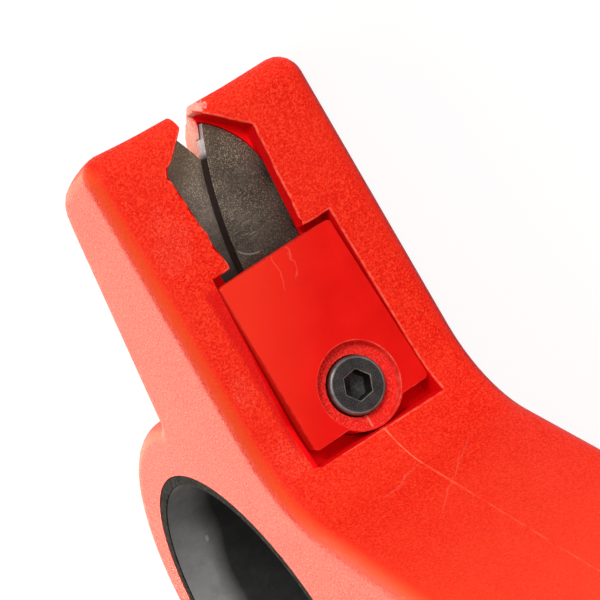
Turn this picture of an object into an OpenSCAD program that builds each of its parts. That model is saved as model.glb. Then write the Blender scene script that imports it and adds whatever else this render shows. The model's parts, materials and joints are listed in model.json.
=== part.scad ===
// Hand-held slitting cutter for thin-walled pipe: a moulded two-part body with a lined grip ring,
// and two crossed blades held in the forked head by a screwed clamp plate.
// X points out of the head's front face, Y runs up the head, Z runs through the body's thickness.
// The grip ring's axis is the Z axis, and the right side of the body lies on Z = 0.

/* [Body] */
// Thickness of the body, side to side
body_t = 23.4; // [21:0.2:30]
// Rounding of the body's outer edges
edge_r = 2.2; // [1.5:0.1:2.4]
// Wall of the hollow handle
wall_t = 2.6; // [2:0.1:3.5]
// Radius of the bend between the head's front face and the handle
bend_r = 10; // [6:0.5:14]
// Radius of the notch between the head's back and the grip ring
notch_r = 1.8; // [1:0.1:3]

/* [Head] */
// Height of the head's top above the clamp screw
head_top = 29.9; // [29.2:0.1:36]
// Depth of the head where its back meets its crown
crown_d = 12.4; // [11:0.1:15]
// Drop of the head's crown from front to back
crown_drop = 1.9; // [0:0.1:3]
// Rounding of the crown's front corner
brow_r = 2.6; // [2.5:0.1:4]
// Rounding of the crown's back corner
crown_r = 4; // [2:0.1:5]
// Lean of the head's back, in degrees
back_lean = 19.5; // [14:0.5:24]

/* [Grip ring] */
// Outer radius of the grip ring
ring_r = 23.8; // [22.5:0.1:30]
// Radius of the hole through the grip ring
hole_r = 18.6; // [15:0.1:19]
// Distance of the ring's axis behind the head's front face
ring_back = 23.7; // [23:0.1:32]
// Distance of the ring's axis below the clamp screw
ring_drop = 19; // [17:0.1:24]
// Thickness of the ring's liner
liner_t = 1.1; // [0.8:0.1:2]
// Height of the liner's locking rib
liner_rib_h = 1; // [0.6:0.1:1.5]
// Width of the liner's locking rib
liner_rib_w = 3; // [2:0.1:5]

/* [Handle] */
// Length from the ring's axis to the centre of the handle's end
handle_l = 95; // [80:1:130]
// Distance of the handle's upper side from the ring's axis
root_r = 23.2; // [22:0.1:30]
// Radius of the handle's end
handle_end_r = 12.5; // [11:0.1:16]
// Slope of the handle's axis below the head's square, in degrees
handle_slope = 22.5; // [18:0.5:30]

/* [Mouth] */
// Width of the slot that leads the pipe wall to the blades
slot_w = 1.95; // [1.4:0.05:2.4]
// Rounding of the prongs' inner corners at the top of the slot
prong_r = 1.1; // [0.6:0.1:1.4]
// Height of the slot's lower end behind the blades
slot_foot = 17.5; // [16.5:0.1:19]
// Width of the blade window below its shoulders
window_w = 9.5; // [9:0.1:9.8]
// Width of the blade window at its lower end
window_low_w = 8; // [7.6:0.1:9]
// Height of the window's shoulders above the clamp screw
window_shoulder = 24.9; // [24:0.1:25.4]
// Slope of the window's shoulders, in degrees
shoulder_lean = 41; // [36:1:43]
// Depth of the window's lips in front of the blades
lip_d = 1.8; // [1.4:0.1:2.1]
// Width of the chip opening in the head's back
chip_w = 9.9; // [8:0.1:10.6]
// Height at which the chip opening's floor meets the blades' seat
chip_y = 27.4; // [27:0.1:28]
// Fall of the chip opening's floor towards the back, in degrees
chip_fall = 32; // [28:1:40]
// Offset of the mouth and its blades from the middle plane, to the left
mouth_off = 0.5; // [0:0.05:0.6]

/* [Blades] */
// Thickness of each blade
blade_t = 1; // [0.6:0.1:1.4]
// Depth of the front blade's face below the head's front face
blade_depth = 2.5; // [2.2:0.1:3.2]
// Distance of each blade's tip from the mouth's middle
tip_x = 1.2; // [0.8:0.05:2]
// Height of the blades' tips above the clamp screw
tip_y = 27.5; // [27:0.1:28.2]
// Radius of the bowed cutting edge
bow_r = 40; // [36:0.5:50]
// Lean of the cutting edge at the tip, in degrees
edge_lean = 25; // [22:1:30]
// Width of the ground bevel along the cutting edge
bevel_w = 0.3; // [0.1:0.05:0.6]
// Distance of the blade's widest point from the mouth's middle
heel_x = 4.85; // [4.4:0.05:5.2]
// Height of the blade's widest point above the clamp screw
heel_y = 20.7; // [19.5:0.1:22]
// Radius of the rounded nose behind each tip
nose_r = 8.3; // [7:0.1:12]
// Lean of the tang, in degrees
tang_lean = 5.5; // [4:0.5:8]
// Height of the tang's end above the clamp screw
tang_end = 5.4; // [5:0.1:6.5]
// Radius of the dowel that both blades hang on
dowel_r = 1; // [0.7:0.05:1.2]
// Height of the dowel above the clamp screw
dowel_y = 9.8; // [9:0.1:11]

/* [Clamp] */
// Width of the clamp plate at its upper edge
plate_w = 12.5; // [12:0.1:13.5]
// Widening of the clamp plate towards its lower edge
plate_taper = 0.6; // [0:0.1:1]
// Height of the plate's upper edge above the clamp screw
plate_top = 14.05; // [13.5:0.05:14.6]
// Distance of the plate's lower edge below the clamp screw
plate_foot = 2.9; // [2.4:0.1:3.4]
// Gap between the plate and the sides of its recess
side_gap = 0.3; // [0.15:0.05:0.4]
// Gap between the plate and the upper wall of its recess
top_gap = 0.8; // [0.4:0.1:1]
// Radius of the round boss that carries the clamp screw
boss_r = 4.25; // [3.9:0.05:4.6]
// Length of the boss below the plate
boss_l = 3; // [2:0.1:4]
// Depth of the dished face round the screw
dish_d = 1.1; // [0.6:0.1:1.4]
// Rim left round the dished face
dish_rim = 0.25; // [0.15:0.05:0.4]
// Thread radius of the clamp screw
screw_r = 1.5; // [1.25:0.25:2]
// Offset of the clamp screw from the middle plane, to the right
screw_off = 0.5; // [0:0.05:0.6]
// Length of the clamp screw under its head
screw_l = 8; // [8:1:9]
// Thread length in the clamp screw's brass insert
insert_l = 4; // [3:0.5:4.5]
// Outer radius of the brass insert
insert_r = 2.6; // [2.4:0.1:3]

/* [Shell screws] */
// Thread radius of the screws that close the body
close_r = 1.5; // [1.25:0.25:1.75]
// Length of those screws under their heads
close_l = 14; // [12:1:16]
// Radius of the bosses that those screws run in
close_boss_r = 3.6; // [3.2:0.1:4.5]
// Depth of the head's closing screw behind the front face
head_close_d = 11.4; // [10.5:0.1:13]
// Height of the head's closing screw above the clamp screw
head_close_y = 11; // [9:0.1:12]
// Distance of the root's closing screw from the ring's axis
root_close_l = 26.3; // [26:0.1:30]

/* [Clearances] */
// Clearance round pieces that are fitted and stay put
seat_gap = 0.05; // [0.03:0.01:0.1]
// Clearance round pieces that turn or slide
run_gap = 0.1; // [0.05:0.01:0.1]

/* [Hidden] */
$fn = 72;
round_fn = 180;
far = 200;
overlap = 0.5;
mid_z = body_t / 2;
front_x = ring_back;
screw_y = ring_drop;

function unit(angle) = [cos(angle), sin(angle)];

// Point where two lines meet, each given by the angle of its normal and its distance along it
function meet(a, p, b, q) = [p * sin(b) - q * sin(a), q * cos(a) - p * cos(b)] / sin(b - a);

// Point on the handle's axis at a share of its length
function on_handle(share) = share * handle_l * unit(-handle_slope);

// Socket cap screw proportions for a thread of radius r
function cap_head_r(r) = 1.75 * r + 0.125;
function cap_head_h(r) = 2 * r;
function cap_hex_r(r) = (0.9 * r - 0.1) / cos(30);
cap_hex_share = 0.55;

// Straight stretches of the body's side view: angle of the outward normal and distance from the origin
front_a = 0;
crown_a = 90 + atan(crown_drop / crown_d);
crown_p = unit(crown_a) * [front_x, screw_y + head_top];
back_a = 180 - back_lean;
back_p = unit(back_a) * [front_x - crown_d, screw_y + head_top - crown_drop];
upper_a = acos((root_r - handle_end_r) / handle_l) - handle_slope;
lower_a = 360 - acos((ring_r - handle_end_r) / handle_l) - handle_slope;

// The notch touches the head's back and the ring
notch_off = back_p + notch_r;
notch_up = sqrt((ring_r + notch_r) ^ 2 - notch_off ^ 2);
notch_xy = notch_off * unit(back_a) + notch_up * unit(back_a - 90);
notch_a = atan2(notch_xy[1], notch_xy[0]);

// Round stretches of the side view, anticlockwise: centre, radius, and first and last normal.
// An inner corner has a negative radius.
arcs = [
    [meet(front_a, front_x - brow_r, crown_a, crown_p - brow_r), brow_r, front_a, crown_a],
    [meet(crown_a, crown_p - crown_r, back_a, back_p - crown_r), crown_r, crown_a, back_a],
    [notch_xy, -notch_r, back_a, notch_a],
    [[0, 0], ring_r, notch_a, lower_a],
    [on_handle(1), handle_end_r, lower_a, upper_a + 360],
    [meet(upper_a, root_r + bend_r, front_a, front_x + bend_r), -bend_r, upper_a + 360, 360]
];

// Point well inside the bend, from which the whole side view can be seen
hub_in = 8;
hub_xy = meet(front_a, front_x - hub_in, upper_a, root_r - hub_in);

// Steps round the body's edge, and along an arc: about 5 degrees each on a large one, fewer on a small one
edge_steps = 6;
function arc_steps(arc) = ceil(abs(arc[3] - arc[2]) / 5 * min(1, sqrt(abs(arc[1]) / 12)));

// Points of an arc drawn in by an inset, without its last one where the next arc starts there
function arc_points(arc, inset) =
    let (steps = arc_steps(arc))
    let (last = arc[0] == notch_xy ? steps - 1 : steps)
    [for (i = [0 : last]) arc[0] + (arc[1] - inset) * unit(arc[2] + (arc[3] - arc[2]) * i / steps)];

// The side view drawn in by an inset
function outline(inset = 0) = [for (arc = arcs) each arc_points(arc, inset)];

// The handle is hollow from a little in front of the front face, with ribs at shares of its length
hollow_x = front_x + 8;
rib_shares = [0.42, 0.7, 0.84];

// The plate is turned in its recess until its corners nearly touch, as its screw leaves it
plate_mid = (plate_top - plate_foot) / 2;
plate_turn = asin((side_gap - seat_gap) / (plate_top - plate_mid));

// The slot is moulded into the left half and just clears the right half's joint face
slot_off = slot_w / 2 - seat_gap;

recess_top = plate_top + top_gap;
recess_foot = boss_r + run_gap;
seat_depth = blade_depth + 2 * blade_t;

// Depths of the clamp's pieces below the front face
screw_seat = dish_d + cap_head_h(screw_r);
screw_end = screw_seat + screw_l;
boss_end = blade_depth + boss_l;
insert_past = 1;
insert_depth = screw_end - insert_l - insert_past;
flange_r = insert_r + 0.6;
flange_l = 1.5;

// The dowel reaches out of the blades into the plate and down into the body
dowel_reach = 1.6;
dowel_top = blade_depth - dowel_reach;
dowel_end = seat_depth + 2 * dowel_reach;

// Heads of the closing screws lie in counterbores in the right side
close_head_r = 2 * close_r;
close_head_h = 1.6 * close_r;
close_grip = 6;
close_sink = mid_z + close_grip - close_l;
root_close_a = 4;
close_shares = [0.56, 0.93];
close_xy = concat(
    [[front_x - head_close_d, screw_y + head_close_y], root_close_l * unit(root_close_a)],
    [for (share = close_shares) on_handle(share)]
);

// The cutting edge is an arc through the tip, centred on the heel's side
edge_centre = [tip_x, tip_y] + bow_r * unit(-edge_lean);

// Centre of the nose's arc through the tip and the heel
nose_a = [tip_x, tip_y];
nose_b = [heel_x, heel_y];
nose_chord = norm(nose_b - nose_a);
nose_side = [nose_a[1] - nose_b[1], nose_b[0] - nose_a[0]] / nose_chord;
nose_centre = (nose_a + nose_b) / 2 - sqrt(nose_r ^ 2 - nose_chord ^ 2 / 4) * nose_side;

// Draws a shape of the front view, first axis up the head, between two depths below the front face
module through_front(from, to) {
    translate([front_x - to, screw_y, mid_z])
        rotate([90, 0, 90])
            linear_extrude(to - from)
                children();
}

// A round piece square to the front face, between two depths
module front_rod(y, r, from, to) {
    translate([front_x - to, screw_y + y, mid_z])
        rotate([0, 90, 0])
            cylinder(h = to - from, r = r);
}

// One half of the body from the middle plane up to its side, with a rounded edge
module half_form() {
    layers = concat(
        [[0, 0]],
        [for (i = [0 : edge_steps])
            let (a = 90 * i / edge_steps)
            [mid_z - edge_r + edge_r * sin(a), edge_r - edge_r * cos(a)]]
    );
    count = len(outline());
    last = len(layers) - 1;
    hub = count * (last + 1);
    points = concat(
        [for (layer = layers) for (p = outline(layer[1])) [p[0], p[1], layer[0]]],
        [for (layer = [layers[0], layers[last]]) [hub_xy[0], hub_xy[1], layer[0]]]
    );
    walls = [for (i = [0 : last - 1]) for (j = [0 : count - 1])
        let (k = (j + 1) % count, low = i * count, high = low + count)
        each [[low + j, high + j, high + k], [low + j, high + k, low + k]]];
    low_cap = [for (j = [0 : count - 1]) [hub, j, (j + 1) % count]];
    high_cap = [for (j = [0 : count - 1]) [hub + 1, last * count + (j + 1) % count, last * count + j]];
    polyhedron(points, concat(walls, low_cap, high_cap));
}

// Hollow of the handle, with the ring's wall, the bosses and the ribs left standing
module handle_hollow() {
    difference() {
        polygon(outline(wall_t));
        circle(hole_r + liner_rib_h + wall_t);
        translate([hollow_x - far, -far])
            square([far, 2 * far]);
        for (p = close_xy)
            translate(p)
                circle(close_boss_r);
        for (share = rib_shares)
            translate(on_handle(share))
                rotate(-handle_slope)
                    square([wall_t / 2, 2 * ring_r], center = true);
    }
}

// Front view of the slot, with the prongs' rounded corners at its top
module slot_shape() {
    steps = 8;
    round_y = head_top - prong_r;
    round_z = slot_w / 2 + prong_r;
    side = concat(
        [[slot_foot, slot_w / 2]],
        [for (i = [0 : steps]) [round_y, round_z] + prong_r * unit(270 + 90 * i / steps)],
        [[far, round_z]]
    );
    polygon(concat(side, [for (i = [len(side) - 1 : -1 : 0]) [side[i][0], -side[i][1]]]));
}

// Front view of the blade window, with its shoulders as a pointed roof
module window_shape() {
    polygon([
        [window_shoulder, -window_w / 2],
        [recess_top - overlap, -window_low_w / 2],
        [recess_top - overlap, window_low_w / 2],
        [window_shoulder, window_w / 2],
        [window_shoulder + window_w / 2 * tan(shoulder_lean), 0]
    ]);
}

// Everything above the sloping floor of the chip opening
module chip_cut() {
    translate([front_x - seat_depth, screw_y + chip_y, mid_z - chip_w / 2])
        rotate(chip_fall)
            translate([-far, 0, 0])
                cube([2 * far, far, chip_w]);
}

// Front view of the clamp plate, grown by a gap on each side
module plate_shape(gap, top, foot) {
    flare = plate_taper / (plate_top + plate_foot) / 2;
    function half_w(y) = plate_w / 2 + gap + flare * (plate_top - y);
    polygon([
        [top, -half_w(top)], [-foot, -half_w(-foot)], [-foot, half_w(-foot)], [top, half_w(top)]
    ]);
}

// Front view of one blade without its cutting edge, tip at the top and heel on the negative side
module blade_blank(gap = 0) {
    heel_foot = heel_x - (heel_y - tang_end) * tan(tang_lean);
    difference() {
        polygon([
            [tip_y + overlap, -heel_x - gap],
            [heel_y, -heel_x - gap],
            [tang_end - gap, -heel_foot - gap],
            [tang_end - gap, 2 * heel_x],
            [tip_y + overlap, 2 * heel_x]
        ]);
        difference() {
            translate([heel_y, -2 * heel_x])
                square([far, 2 * heel_x]);
            translate([nose_centre[1], -nose_centre[0]])
                circle(nose_r + gap, $fn = round_fn);
        }
    }
}

// Front view of the pocket that a blade lies in
module blade_pocket() {
    intersection() {
        blade_blank(run_gap);
        translate([edge_centre[1], -edge_centre[0]])
            circle(bow_r + run_gap, $fn = 360);
    }
}

// One blade with its face at depth 0, its ground bevel and its dowel hole
module blade_solid() {
    difference() {
        intersection() {
            through_front(0, blade_t)
                blade_blank();
            translate([front_x - blade_t, screw_y + edge_centre[1], mid_z - edge_centre[0]])
                rotate([0, 90, 0])
                    cylinder(h = blade_t, r1 = bow_r, r2 = bow_r - bevel_w, $fn = 360);
        }
        front_rod(dowel_y, dowel_r + seat_gap, -1, blade_t + 1);
    }
}

// The mouth's cuts: slot, window, chip opening, blade pockets and dowel hole
module mouth_cuts() {
    translate([0, 0, slot_off])
        through_front(-overlap, far)
            slot_shape();
    translate([0, 0, mouth_off]) {
        through_front(-overlap, blade_depth)
            window_shape();
        chip_cut();
        through_front(lip_d, blade_depth + blade_t)
            blade_pocket();
        through_front(lip_d, seat_depth)
            mirror([0, 1])
                blade_pocket();
        front_rod(dowel_y, dowel_r + seat_gap, 0, dowel_end + seat_gap);
    }
}

// The clamp's cuts: recess of the plate, and holes of its boss, screw and insert
module clamp_cuts() {
    through_front(-bend_r, blade_depth)
        plate_shape(side_gap, recess_top, recess_foot);
    translate([0, 0, -screw_off]) {
        front_rod(0, boss_r + run_gap, 0, boss_end + run_gap);
        front_rod(0, screw_r + run_gap, 0, screw_end + overlap);
        front_rod(0, insert_r + seat_gap, boss_end, insert_depth + insert_l + seat_gap);
        front_rod(0, flange_r + seat_gap, insert_depth - seat_gap, insert_depth + flange_l + seat_gap);
    }
}

// Everything that is cut out of both halves of the body
module body_cuts() {
    mouth_cuts();
    clamp_cuts();
    translate([0, 0, -overlap])
        cylinder(h = body_t + 2 * overlap, r = hole_r, $fn = round_fn);
    translate([0, 0, mid_z - liner_rib_w / 2 - seat_gap])
        cylinder(h = liner_rib_w + 2 * seat_gap, r = hole_r + liner_rib_h, $fn = round_fn);
    for (p = close_xy)
        translate([p[0], p[1], close_sink]) {
            translate([0, 0, -overlap])
                cylinder(h = close_l + 2 * overlap, r = close_r + seat_gap);
            translate([0, 0, -far])
                cylinder(h = far, r = close_head_r + run_gap);
        }
}

// One half of the body, hollowed and cut; the right half is the left one's form turned over
module half_body(right) {
    difference() {
        translate([0, 0, mid_z])
            mirror([0, 0, right ? 1 : 0])
                difference() {
                    half_form();
                    translate([0, 0, -1])
                        linear_extrude(mid_z - wall_t + 1)
                            handle_hollow();
                }
        body_cuts();
    }
}

module left_shell() {
    color("#f23a22")
        half_body(false);
}

module right_shell() {
    color("#f23a22")
        half_body(true);
}

module ring_liner() {
    liner_r = hole_r - seat_gap;
    color("#1c1c1e")
        difference() {
            union() {
                cylinder(h = body_t, r = liner_r, $fn = round_fn);
                translate([0, 0, mid_z - liner_rib_w / 2])
                    cylinder(h = liner_rib_w, r = liner_r + liner_rib_h, $fn = round_fn);
            }
            translate([0, 0, -overlap])
                cylinder(h = body_t + 2 * overlap, r = hole_r - liner_t, $fn = round_fn);
        }
}

module front_blade() {
    color("#4a4744")
        translate([-blade_depth, 0, mouth_off])
            blade_solid();
}

module rear_blade() {
    color("#5a5149")
        translate([2 * front_x - seat_depth, 0, 2 * mid_z + mouth_off])
            rotate([0, 180, 0])
                blade_solid();
}

module blade_dowel() {
    color("#b9bcc0")
        translate([0, 0, mouth_off])
            front_rod(dowel_y, dowel_r, dowel_top, dowel_end);
}

module clamp_plate() {
    color("#e81c12")
        difference() {
            union() {
                through_front(0, blade_depth)
                    translate([plate_mid, 0])
                        rotate(plate_turn)
                            translate([-plate_mid, 0])
                                plate_shape(0, plate_top, plate_foot);
                translate([0, 0, -screw_off])
                    front_rod(0, boss_r, 0, boss_end);
            }
            translate([0, 0, -screw_off]) {
                front_rod(0, boss_r - dish_rim, -overlap, dish_d);
                front_rod(0, cap_head_r(screw_r) + run_gap, 0, screw_seat);
                front_rod(0, screw_r + run_gap, 0, boss_end + overlap);
            }
            translate([0, 0, mouth_off])
                front_rod(dowel_y, dowel_r + run_gap, dowel_top - run_gap, blade_depth + overlap);
        }
}

module clamp_screw() {
    color("#26282b")
        translate([0, 0, -screw_off])
            difference() {
                union() {
                    front_rod(0, cap_head_r(screw_r), dish_d, screw_seat);
                    front_rod(0, screw_r, screw_seat - overlap, screw_end);
                }
                translate([front_x - dish_d - cap_hex_share * cap_head_h(screw_r), screw_y, mid_z])
                    rotate([0, 90, 0])
                        cylinder(h = cap_head_h(screw_r), r = cap_hex_r(screw_r), $fn = 6);
            }
}

module clamp_insert() {
    color("#b8923f")
        translate([0, 0, -screw_off])
            difference() {
                union() {
                    front_rod(0, insert_r, insert_depth, insert_depth + insert_l);
                    front_rod(0, flange_r, insert_depth, insert_depth + flange_l);
                }
                front_rod(0, screw_r + seat_gap, insert_depth - overlap, insert_depth + insert_l + overlap);
            }
}

module shell_screws() {
    color("#3a3c40")
        for (p = close_xy)
            translate([p[0], p[1], close_sink])
                difference() {
                    union() {
                        translate([0, 0, -close_head_h])
                            cylinder(h = close_head_h, r = close_head_r);
                        cylinder(h = close_l, r = close_r);
                    }
                    translate([0, 0, -2 * close_head_h + cap_hex_share * close_head_h])
                        cylinder(h = close_head_h, r = cap_hex_r(close_r), $fn = 6);
                }
}

left_shell();
right_shell();
ring_liner();
front_blade();
rear_blade();
blade_dowel();
clamp_plate();
clamp_screw();
clamp_insert();
shell_screws();
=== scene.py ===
"""Looks of a hand-held slitting cutter for thin-walled pipe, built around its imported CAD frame.

Axes of the frame, in metres: X out of the head's front face, Y up the head, Z through the body's thickness.
The grip ring's axis is the Z axis, and the body lies with its right side on the floor at Z = 0.
"""

import json
import math

import bmesh
import bpy
from mathutils import Matrix, Vector, noise

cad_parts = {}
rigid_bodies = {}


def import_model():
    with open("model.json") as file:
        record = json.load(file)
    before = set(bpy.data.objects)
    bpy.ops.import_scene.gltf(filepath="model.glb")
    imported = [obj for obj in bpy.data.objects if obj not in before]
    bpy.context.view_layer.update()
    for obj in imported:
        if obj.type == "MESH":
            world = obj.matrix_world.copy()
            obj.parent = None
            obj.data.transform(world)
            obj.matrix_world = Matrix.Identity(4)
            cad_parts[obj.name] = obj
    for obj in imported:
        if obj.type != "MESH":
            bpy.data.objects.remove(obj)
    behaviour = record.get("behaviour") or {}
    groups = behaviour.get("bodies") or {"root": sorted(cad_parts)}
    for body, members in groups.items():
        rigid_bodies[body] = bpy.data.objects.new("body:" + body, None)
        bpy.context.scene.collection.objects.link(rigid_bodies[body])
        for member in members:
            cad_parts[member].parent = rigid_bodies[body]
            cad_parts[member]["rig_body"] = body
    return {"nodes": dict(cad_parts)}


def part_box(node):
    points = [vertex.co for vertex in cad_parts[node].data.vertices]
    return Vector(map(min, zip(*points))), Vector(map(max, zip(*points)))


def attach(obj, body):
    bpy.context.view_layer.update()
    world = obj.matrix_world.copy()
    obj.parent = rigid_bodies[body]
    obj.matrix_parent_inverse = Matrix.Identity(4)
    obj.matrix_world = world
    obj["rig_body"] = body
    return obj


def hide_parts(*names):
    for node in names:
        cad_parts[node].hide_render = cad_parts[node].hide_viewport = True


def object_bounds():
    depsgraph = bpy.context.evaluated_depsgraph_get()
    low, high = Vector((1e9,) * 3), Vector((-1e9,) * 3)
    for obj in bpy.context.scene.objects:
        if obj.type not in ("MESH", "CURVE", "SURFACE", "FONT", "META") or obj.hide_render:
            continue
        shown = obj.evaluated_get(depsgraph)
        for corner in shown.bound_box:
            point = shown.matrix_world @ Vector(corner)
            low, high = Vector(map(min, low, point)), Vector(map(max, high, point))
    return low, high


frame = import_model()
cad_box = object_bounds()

MM = 0.001

# Places on the head, from the frame
MID_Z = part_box("left_shell")[0].z
SCREW_LOW, SCREW_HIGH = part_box("clamp_screw")
SCREW_Y = (SCREW_LOW.y + SCREW_HIGH.y) / 2
SCREW_Z = (SCREW_LOW.z + SCREW_HIGH.z) / 2
PLATE_LOW, PLATE_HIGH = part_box("clamp_plate")
FRONT_X = PLATE_HIGH.x
BLADE_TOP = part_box("front_blade")[1].y
BLADE_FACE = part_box("front_blade")[1].x
DISH_CENTRE = Vector((FRONT_X, SCREW_Y, MID_Z))

# Camera, fitted to the photograph: turned about the head's axis, tipped, and rolled
CAM_YAW = math.radians(-21)
CAM_PITCH = math.radians(3.3)
CAM_ROLL = math.radians(-30.2)
CAM_LENS = 150
CAM_SENSOR = 36
CAM_NEAR = 0.01
CAM_FAR = 20
IMAGE_SIDE = 600
FOCAL_PX = CAM_LENS / CAM_SENSOR * IMAGE_SIDE
PX_PER_M = 11160
DISH_PX = (59.5, 84.5)
FIT_SHIFT = -0.5 * MM

# Floor, room and lamps: each lamp's name, place, side, watts and colour
FLOOR_HALF = 3.0
FLOOR_DROP = 0.02 * MM
FLOOR_GREY = (0.82, 0.82, 0.82)
FLOOR_GLOW = 1.06
FLOOR_SEEN = 0.86
FILL = 0.28
WHITE = (1, 1, 1)
WARM = (1, 0.88, 0.68)
LAMPS = (
    ("key", (0.58, 0.40, 0.28), 0.25, 3.9, WHITE),
    ("back", (-0.45, 0.02, 0.22), 0.50, 5.3, WARM),
)

# Angles and distances that count as sharp, flat, smooth, the same place and no width
SHARP = math.radians(30)
FLAT = math.radians(0.3)
SMOOTH = math.cos(math.radians(38))
ON = 0.02 * MM
WELD = 0.002 * MM
SLIVER = 0.004 * MM
LEFT_PAST = 1 * MM

# Limits of one part of a face's normal, by which the face is known
FACING = 0.9
RIM_WALL = 0.3
RIM_FACE = 0.6
INNER_WALL = 0.35
TOP_FACE = 0.7
CROWN_FACE = 0.05
LINER_END = 0.5
BLADE_SIDE = 0.8

# Materials by index: on most pieces, on the shells, the plate, the clamp screw and the blades
BASE, RUBBED = 0, 1
SEAM, INNER = 2, 3
DISH = 2
# Painted shade: the darker black inside the clamp screw's hexagon socket
SOCKET_SHADE = 2
GROUND = 1

# Rounded edges of the shells
RIM_R = 0.17 * MM
SEAM_R = 0.07 * MM
SEAM_FAINT_R = 0.03 * MM
SEAM_FAINT_X = 40 * MM
SOFT_R = 0.7 * MM
PRONG_R = 0.45 * MM

# Rims of the window and the recess, and the part of the head that is merged first
RIM_REACH = 8 * MM
RIM_DEPTH = 1 * MM
SIDE_NEAR = 0.5 * MM
MERGE = 0.12 * MM
MERGE_DEPTH = 2.6 * MM
MERGE_BELOW = 2 * MM

# Slot between the prongs
SLOT_W = 1.9 * MM
SLOT_EASE = 0.05 * MM
SLOT_NEAR = 0.25 * MM
PRONG_BACK = 21 * MM
PRONG_ABOVE = 0.2 * MM

# Walls and floors inside the head
INNER_REACH = 7.3 * MM
INNER_FOOT = 14 * MM
INNER_BACK = 5 * MM
INNER_DEPTH = 1.5 * MM
TOP_BELOW = 1 * MM
TORN_REACH = 0.4 * MM
TORN_BELOW = 5 * MM

# Frayed rim of the window, more so on the left half
FRAY_STEP = 0.4 * MM
FRAY_LEFT = 0.3 * MM
FRAY_RIGHT = 0.1 * MM
FRAY_LUMP = 1.2 * MM

# Chip opening in the top of the head
CHIP_MID = MID_Z + 0.5 * MM
CHIP_HALF = 4.95 * MM
CHIP_LIP = 48.26 * MM

# Dome over the top of the head
DOME_BACK = 10.5 * MM
DOME_FLAT = 13.7 * MM
DOME_FRONT = 20.7 * MM
DOME_RISE = 0.3 * MM
DOME_CUTS = 8
DOME_SKIN = 2.4 * MM
CROWN_Y = 48.45 * MM
CROWN_SLOPE = 0.153

# Clamp plate: its dish and its edges
DISH_R = 4 * MM
DISH_DEPTH = 1.5 * MM
CORNER_R = 0.5 * MM
CORNER_LONG = 2 * MM
CORNER_SIDE = 5.5 * MM
STRAIGHT_R = 0.22 * MM
STRAIGHT_LONG = 1.5 * MM
CURVED_R = 0.1 * MM

# Clamp screw: its head, the hexagon and its drill point
HEX_TURN = math.radians(8)
HEX_SIDES = 6
HEX_REACH = 1.5 * MM
HEX_DEPTH = 3 * MM
HEX_RIM_R = 0.1 * MM
HEAD_RISE = 0.8 * MM
HEAD_RAISED = 2 * MM
HEAD_RIM_R = 0.3 * MM
HEAD_RIM_BEYOND = 2 * MM
DRILL_INSET = 0.12 * MM
DRILL_DEPTH = 0.5 * MM

# Threads
ALONG_X, ALONG_Z = 0, 2
PITCH = 0.5 * MM
SHANK_LONG = 5 * MM
TURN_STEPS = 6
THREAD_DEPTH = 0.6

# Edges of the liner, the blades and the closing screws
LINER_R = 0.15 * MM
FINE_R = 0.03 * MM

# Colours of the red mouldings, linear
BODY_REDS = (0.72, 0.006, 0.002), (0.88, 0.017, 0.003), (0.97, 0.056, 0.017)
DISH_REDS = (0.72, 0.008, 0.006), (0.90, 0.018, 0.011), (0.97, 0.07, 0.05)
INNER_REDS = (0.80, 0.003, 0.005), (0.92, 0.006, 0.008)
PLATE_REDS = (0.68, 0.004, 0.002), (0.78, 0.008, 0.004)
# Painted shade: the deeper red laid into crevices and recesses
PAINTED_CREVICE_SHADE = (0.42, 0.003, 0.002)
# Painted light: the handle's red made lighter and more orange, as where it turns up to the light
HANDLE_LIGHT_RED = (0.99, 0.080, 0.030)
# Painted light: an orange glow on the rounded edge between the front and the left side
EDGE_GLOW_RED = (1.0, 0.12, 0.028)
# Painted shade: a dark red band on the front beside the recess's left rim
BESIDE_SHADE_RED = (0.70, 0.002, 0.002)
RUBBED_RED = (0.98, 0.19, 0.12)
FLASH_RED = (1.0, 0.34, 0.18)
# Painted light: the plate's paler red towards its upper left
PLATE_LIT_RED = (0.82, 0.030, 0.012)
PLATE_LINE = (0.95, 0.16, 0.11)
PLATE_EDGE = (0.84, 0.022, 0.012)
PLATE_RUBBED = (0.95, 0.20, 0.14)
SCUFF = (0.97, 0.30, 0.20)
TORN = (0.94, 0.55, 0.48)

# Colours of the liner and the metals, linear
LINER_GREYS = (0.030, 0.029, 0.029), (0.046, 0.045, 0.044)
# Painted light: the lighter grey near the mouths of the bore, where light gets in
LINER_LIT_GREY = (0.36, 0.35, 0.34)
LINER_DUST = (0.30, 0.29, 0.28)
LINER_FLECK = (0.6, 0.58, 0.55)
LINER_RIM = (0.010, 0.010, 0.010), (0.055, 0.055, 0.055)
FRONT_STEEL = (0.038, 0.029, 0.022), (0.078, 0.062, 0.048)
REAR_STEEL = (0.070, 0.054, 0.044), (0.145, 0.115, 0.098)
BROWNED = (0.17, 0.115, 0.065)
SPECKS = (0.42, 0.35, 0.25)
# Painted shade: the darker colour towards the blades' foot
FOOT_SHADE = (0.014, 0.010, 0.008)
SCRATCHED = (0.46, 0.44, 0.40)
# Painted shade and light on the blades' ground sides: near black below, and bright ground steel near the
# tip
SHADED_EDGE_STEEL = (0.012, 0.009, 0.008), (0.035, 0.026, 0.022)
LIT_EDGE_STEEL = (0.45, 0.46, 0.48), (0.72, 0.73, 0.75)
GROUND_STEEL = (0.34, 0.34, 0.35), (0.55, 0.55, 0.56)
BLACK_OXIDE = (0.012, 0.012, 0.012), (0.034, 0.032, 0.030)
BLACK_RUBBED = (0.08, 0.08, 0.077), (0.20, 0.195, 0.185)
# Painted shade: the darker black inside the clamp screw's hexagon socket
BLACK_SOCKET_SHADE = (0.005, 0.004, 0.004), (0.014, 0.012, 0.011)
OXIDE_SPECKS = (0.19, 0.18, 0.165)
BRASS = (0.60, 0.40, 0.14), (0.75, 0.53, 0.22)

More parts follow.
